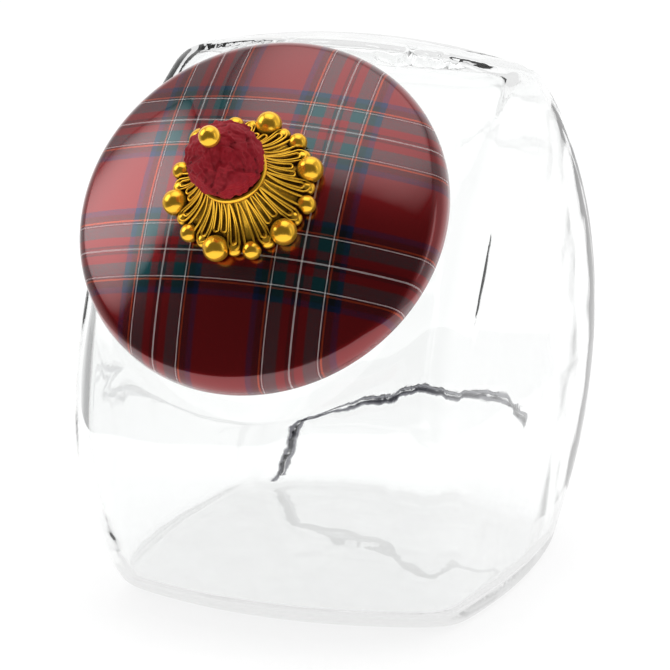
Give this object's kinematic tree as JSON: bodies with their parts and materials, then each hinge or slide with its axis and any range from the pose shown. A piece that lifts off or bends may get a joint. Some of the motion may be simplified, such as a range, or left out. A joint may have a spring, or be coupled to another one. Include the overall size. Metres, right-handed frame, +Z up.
{
  "type": "slant front glass cookie jar",
  "caption": "Clear glass storage jar with a slanted round mouth and a domed tartan enamel steel lid, carrying a gold flower finial with a red bud.",
  "frame": {"origin": "centre of the jar's flat base, on the table", "axes": "+Z up, -Y towards the side that the slanted mouth faces, X from side to side"},
  "size_m": [0.177, 0.3088, 0.2368],
  "materials": {
    "clear_glass": "clear pressed glass, fire polished",
    "tartan_enamel": "glossy red tartan enamel",
    "pressed_steel": "plain pressed stainless steel",
    "clear_silicone": "translucent silicone",
    "rod_steel": "threaded zinc plated steel",
    "black_rubber": "matt black",
    "antique_gold": "satin antique gold over cast metal",
    "red_lacquer": "satin red lacquer"
  },
  "bodies": {
    "jar": {"glass_jar": "clear_glass"},
    "gasket": {"sealing_gasket": "clear_silicone"},
    "lid": {"lid_shell": "tartan_enamel", "locating_ring": "pressed_steel", "tie_rod": "rod_steel", "backing_washer": "rod_steel", "finial_nut": "rod_steel", "seat_pad": "black_rubber", "flower_skirt": "antique_gold", "large_beads": "antique_gold", "small_beads": "antique_gold", "bud_collar": "antique_gold", "bud": "red_lacquer", "tip_ball": "antique_gold", "tip_pin": "rod_steel"}
  },
  "joints": [
    {"name": "lid_lift", "type": "slide", "parent": "jar", "child": "gasket", "axis": [0, -0.8241, 0.5664], "range_m": [0, 0.11]},
    {"name": "lid_turn", "type": "hinge", "parent": "gasket", "child": "lid", "pos_m": [0, -0.1068, 0.1715], "axis": [0, -0.8241, 0.5664], "continuous": true}
  ]
}
